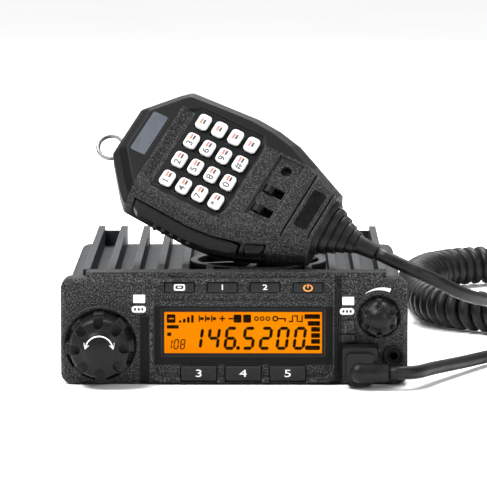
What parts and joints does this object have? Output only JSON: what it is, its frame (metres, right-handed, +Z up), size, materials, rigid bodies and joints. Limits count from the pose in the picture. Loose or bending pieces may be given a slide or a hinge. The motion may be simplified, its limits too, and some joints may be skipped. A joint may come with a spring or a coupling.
{
  "type": "mobile transceiver",
  "caption": "Compact vehicle radio with a finned fan-cooled case, amber display, two knobs and a keypad hand microphone on a curly cord.",
  "frame": {"origin": "centre of the footprint on the table, midway between the side faces and between the channel knob and the antenna connector", "axes": "+Y from the front panel to the rear, +Z up, +X to the right seen from the front"},
  "size_m": [0.2532, 0.3344, 0.1176],
  "materials": {
    "cast_case": "satin powder coat on die casting",
    "panel_plastic": "fine textured black",
    "window": "clear acrylic",
    "lcd": "amber backlit",
    "board": "solder mask",
    "lens": "translucent white",
    "control_metal": "plated",
    "knob_plastic": "satin black",
    "key_plastic": "satin black",
    "socket_plastic": "moulded",
    "speaker_cone": "paper and steel basket",
    "fan_plastic": "moulded",
    "connector_plating": "nickel",
    "mic_plastic": "fine textured black",
    "mic_button": "satin black",
    "mic_key_white": "satin silicone",
    "nameplate": "satin grey-blue",
    "ring_steel": "plated wire",
    "cord_rubber": "satin black"
  },
  "bodies": {
    "radio": {"chassis": "cast_case", "bottom_cover": "cast_case", "front_panel": "panel_plastic", "display_window": "window", "lcd_module": "lcd", "front_board": "board", "main_board": "board", "indicator_lenses": "lens", "channel_encoder": "control_metal", "volume_pot": "control_metal", "case_screws": "control_metal", "mic_jack": "socket_plastic", "phone_jacks": "socket_plastic", "dc_inlet": "socket_plastic", "speaker": "speaker_cone", "fan_frame": "fan_plastic", "antenna_connector": "connector_plating", "mic_lead": "cord_rubber", "curly_cord": "cord_rubber", "plug_lead": "cord_rubber", "mic_plug": "cord_rubber"},
    "channel_dial": {"channel_shaft": "control_metal", "channel_knob": "knob_plastic"},
    "volume_dial": {"volume_shaft": "control_metal", "volume_knob": "knob_plastic"},
    "fan_rotor": {"fan_rotor": "fan_plastic"},
    "microphone": {"mic_front_case": "mic_plastic", "mic_rear_case": "mic_plastic", "mic_board": "board", "mic_nameplate": "nameplate", "mic_screws": "control_metal", "mic_boot": "cord_rubber"},
    "ptt_bar": {"ptt_bar": "mic_button"},
    "side_key": {"side_key": "mic_button"},
    "lock_switch": {"lock_switch": "mic_button"},
    "tone_switch": {"tone_switch": "mic_button"},
    "hang_ring": {"hang_ring": "ring_steel"},
    "key_monitor": {"key_monitor": "key_plastic"},
    "key_p1": {"key_p1": "key_plastic"},
    "key_p2": {"key_p2": "key_plastic"},
    "key_power": {"key_power": "key_plastic"},
    "key_p3": {"key_p3": "key_plastic"},
    "key_p4": {"key_p4": "key_plastic"},
    "key_p5": {"key_p5": "key_plastic"},
    "mic_key_r1c1": {"mic_key_r1c1": "mic_key_white"},
    "mic_key_r1c2": {"mic_key_r1c2": "mic_key_white"},
    "mic_key_r1c3": {"mic_key_r1c3": "mic_key_white"},
    "mic_key_r1c4": {"mic_key_r1c4": "mic_key_white"},
    "mic_key_r2c1": {"mic_key_r2c1": "mic_key_white"},
    "mic_key_r2c2": {"mic_key_r2c2": "mic_key_white"},
    "mic_key_r2c3": {"mic_key_r2c3": "mic_key_white"},
    "mic_key_r2c4": {"mic_key_r2c4": "mic_key_white"},
    "mic_key_r3c1": {"mic_key_r3c1": "mic_key_white"},
    "mic_key_r3c2": {"mic_key_r3c2": "mic_key_white"},
    "mic_key_r3c3": {"mic_key_r3c3": "mic_key_white"},
    "mic_key_r3c4": {"mic_key_r3c4": "mic_key_white"},
    "mic_key_r4c1": {"mic_key_r4c1": "mic_key_white"},
    "mic_key_r4c2": {"mic_key_r4c2": "mic_key_white"},
    "mic_key_r4c3": {"mic_key_r4c3": "mic_key_white"},
    "mic_key_r4c4": {"mic_key_r4c4": "mic_key_white"}
  },
  "joints": [
    {"name": "channel_turn", "type": "hinge", "parent": "radio", "child": "channel_dial", "pos_m": [-0.0557, -0.084, 0.0169], "axis": [0, 1, 0], "continuous": true},
    {"name": "volume_turn", "type": "hinge", "parent": "radio", "child": "volume_dial", "pos_m": [0.0604, -0.084, 0.0287], "axis": [0, 1, 0], "range_deg": [-150, 150]},
    {"name": "fan_spin", "type": "hinge", "parent": "radio", "child": "fan_rotor", "pos_m": [0.01, -0.041, 0.028], "axis": [0, 0, 1], "continuous": true},
    {"name": "mic_lift", "type": "slide", "parent": "radio", "child": "microphone", "axis": [0, 0, 1], "range_m": [0, 0.15]},
    {"name": "key_monitor_press", "type": "slide", "parent": "radio", "child": "key_monitor", "axis": [0, 1, 0], "range_m": [0, 0.0008], "stiffness_N_per_m": 500, "springref_m": -0.0012},
    {"name": "key_p1_press", "type": "slide", "parent": "radio", "child": "key_p1", "axis": [0, 1, 0], "range_m": [0, 0.0008], "stiffness_N_per_m": 500, "springref_m": -0.0012},
    {"name": "key_p2_press", "type": "slide", "parent": "radio", "child": "key_p2", "axis": [0, 1, 0], "range_m": [0, 0.0008], "stiffness_N_per_m": 500, "springref_m": -0.0012},
    {"name": "key_power_press", "type": "slide", "parent": "radio", "child": "key_power", "axis": [0, 1, 0], "range_m": [0, 0.0008], "stiffness_N_per_m": 500, "springref_m": -0.0012},
    {"name": "key_p3_press", "type": "slide", "parent": "radio", "child": "key_p3", "axis": [0, 1, 0], "range_m": [0, 0.0008], "stiffness_N_per_m": 500, "springref_m": -0.0012},
    {"name": "key_p4_press", "type": "slide", "parent": "radio", "child": "key_p4", "axis": [0, 1, 0], "range_m": [0, 0.0008], "stiffness_N_per_m": 500, "springref_m": -0.0012},
    {"name": "key_p5_press", "type": "slide", "parent": "radio", "child": "key_p5", "axis": [0, 1, 0], "range_m": [0, 0.0008], "stiffness_N_per_m": 500, "springref_m": -0.0012},
    {"name": "mic_key_r1c1_press", "type": "slide", "parent": "microphone", "child": "mic_key_r1c1", "axis": [0, 0.809, -0.5878], "range_m": [0, 0.0008], "stiffness_N_per_m": 400, "springref_m": -0.001},
    {"name": "mic_key_r1c2_press", "type": "slide", "parent": "microphone", "child": "mic_key_r1c2", "axis": [0, 0.809, -0.5878], "range_m": [0, 0.0008], "stiffness_N_per_m": 400, "springref_m": -0.001},
    {"name": "mic_key_r1c3_press", "type": "slide", "parent": "microphone", "child": "mic_key_r1c3", "axis": [0, 0.809, -0.5878], "range_m": [0, 0.0008], "stiffness_N_per_m": 400, "springref_m": -0.001},
    {"name": "mic_key_r1c4_press", "type": "slide", "parent": "microphone", "child": "mic_key_r1c4", "axis": [0, 0.809, -0.5878], "range_m": [0, 0.0008], "stiffness_N_per_m": 400, "springref_m": -0.001},
    {"name": "mic_key_r2c1_press", "type": "slide", "parent": "microphone", "child": "mic_key_r2c1", "axis": [0, 0.809, -0.5878], "range_m": [0, 0.0008], "stiffness_N_per_m": 400, "springref_m": -0.001},
    {"name": "mic_key_r2c2_press", "type": "slide", "parent": "microphone", "child": "mic_key_r2c2", "axis": [0, 0.809, -0.5878], "range_m": [0, 0.0008], "stiffness_N_per_m": 400, "springref_m": -0.001},
    {"name": "mic_key_r2c3_press", "type": "slide", "parent": "microphone", "child": "mic_key_r2c3", "axis": [0, 0.809, -0.5878], "range_m": [0, 0.0008], "stiffness_N_per_m": 400, "springref_m": -0.001},
    {"name": "mic_key_r2c4_press", "type": "slide", "parent": "microphone", "child": "mic_key_r2c4", "axis": [0, 0.809, -0.5878], "range_m": [0, 0.0008], "stiffness_N_per_m": 400, "springref_m": -0.001},
    {"name": "mic_key_r3c1_press", "type": "slide", "parent": "microphone", "child": "mic_key_r3c1", "axis": [0, 0.809, -0.5878], "range_m": [0, 0.0008], "stiffness_N_per_m": 400, "springref_m": -0.001},
    {"name": "mic_key_r3c2_press", "type": "slide", "parent": "microphone", "child": "mic_key_r3c2", "axis": [0, 0.809, -0.5878], "range_m": [0, 0.0008], "stiffness_N_per_m": 400, "springref_m": -0.001},
    {"name": "mic_key_r3c3_press", "type": "slide", "parent": "microphone", "child": "mic_key_r3c3", "axis": [0, 0.809, -0.5878], "range_m": [0, 0.0008], "stiffness_N_per_m": 400, "springref_m": -0.001},
    {"name": "mic_key_r3c4_press", "type": "slide", "parent": "microphone", "child": "mic_key_r3c4", "axis": [0, 0.809, -0.5878], "range_m": [0, 0.0008], "stiffness_N_per_m": 400, "springref_m": -0.001},
    {"name": "mic_key_r4c1_press", "type": "slide", "parent": "microphone", "child": "mic_key_r4c1", "axis": [0, 0.809, -0.5878], "range_m": [0, 0.0008], "stiffness_N_per_m": 400, "springref_m": -0.001},
    {"name": "mic_key_r4c2_press", "type": "slide", "parent": "microphone", "child": "mic_key_r4c2", "axis": [0, 0.809, -0.5878], "range_m": [0, 0.0008], "stiffness_N_per_m": 400, "springref_m": -0.001},
    {"name": "mic_key_r4c3_press", "type": "slide", "parent": "microphone", "child": "mic_key_r4c3", "axis": [0, 0.809, -0.5878], "range_m": [0, 0.0008], "stiffness_N_per_m": 400, "springref_m": -0.001},
    {"name": "mic_key_r4c4_press", "type": "slide", "parent": "microphone", "child": "mic_key_r4c4", "axis": [0, 0.809, -0.5878], "range_m": [0, 0.0008], "stiffness_N_per_m": 400, "springref_m": -0.001},
    {"name": "ptt_press", "type": "slide", "parent": "microphone", "child": "ptt_bar", "axis": [0.4802, 0.5156, 0.7096], "range_m": [0, 0.0015], "stiffness_N_per_m": 800, "springref_m": -0.0015},
    {"name": "side_key_press", "type": "slide", "parent": "microphone", "child": "side_key", "axis": [0.4802, 0.5156, 0.7096], "range_m": [0, 0.0009], "stiffness_N_per_m": 600, "springref_m": -0.0012},
    {"name": "lock_slide", "type": "slide", "parent": "microphone", "child": "lock_switch", "axis": [0.8771, -0.2823, -0.3885], "range_m": [0, 0.003]},
    {"name": "tone_slide", "type": "slide", "parent": "microphone", "child": "tone_switch", "axis": [0.8771, -0.2823, -0.3885], "range_m": [0, 0.003]},
    {"name": "hang_ring_swing", "type": "hinge", "parent": "microphone", "child": "hang_ring", "pos_m": [-0.04738, -0.03035, 0.09124], "axis": [0.4802, 0.5156, 0.7096], "range_deg": [-45, 60]}
  ]
}
